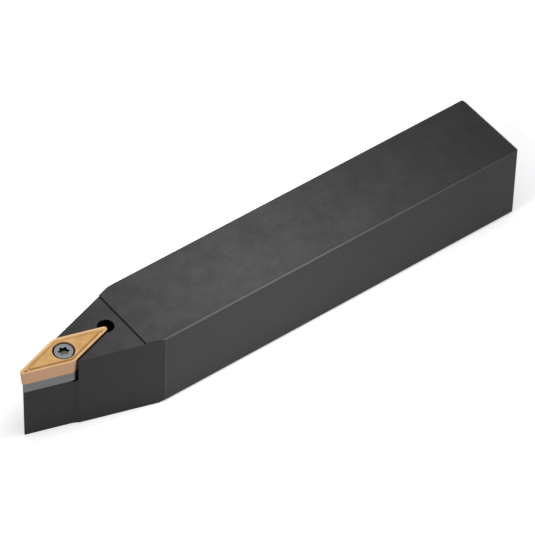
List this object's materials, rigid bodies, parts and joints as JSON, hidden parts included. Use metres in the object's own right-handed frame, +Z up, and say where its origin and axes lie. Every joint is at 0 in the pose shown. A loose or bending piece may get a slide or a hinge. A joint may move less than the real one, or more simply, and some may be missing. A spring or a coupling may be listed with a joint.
{
  "type": "turning tool holder",
  "caption": "Square-shank external turning tool holder with a rhombic indexable insert on a shim, clamped by a countersunk screw.",
  "frame": {"origin": "centre of the base, on the face that the tool rests on", "axes": "+X from the cutting nose to the rear end of the shank, +Y to the side, +Z up"},
  "size_m": [0.16, 0.025, 0.025],
  "materials": {
    "blackened_steel": "blackened, fine matt grain",
    "bare_carbide": "ground, grey",
    "dark_screw_steel": "dark, turned",
    "gold_coated_carbide": "gold coating, satin",
    "screw_steel": "plated, satin"
  },
  "bodies": {
    "holder": {"holder": "blackened_steel", "shim": "bare_carbide", "shim_screw": "dark_screw_steel"},
    "insert": {"insert": "gold_coated_carbide"},
    "insert_screw": {"insert_screw": "screw_steel"}
  },
  "joints": [
    {"name": "insert_lift", "type": "slide", "parent": "holder", "child": "insert", "axis": [0, 0, 1], "range_m": [0, 0.0042]},
    {"name": "insert_screw_turn", "type": "hinge", "parent": "insert", "child": "insert_screw", "pos_m": [-0.06602, 0, 0.024], "axis": [0, 0, 1], "range_deg": [0, 2521]}
  ],
  "couplings": [
    {"joint": "insert_screw_turn", "follows": "insert_lift", "rad_per_m": 10472}
  ]
}
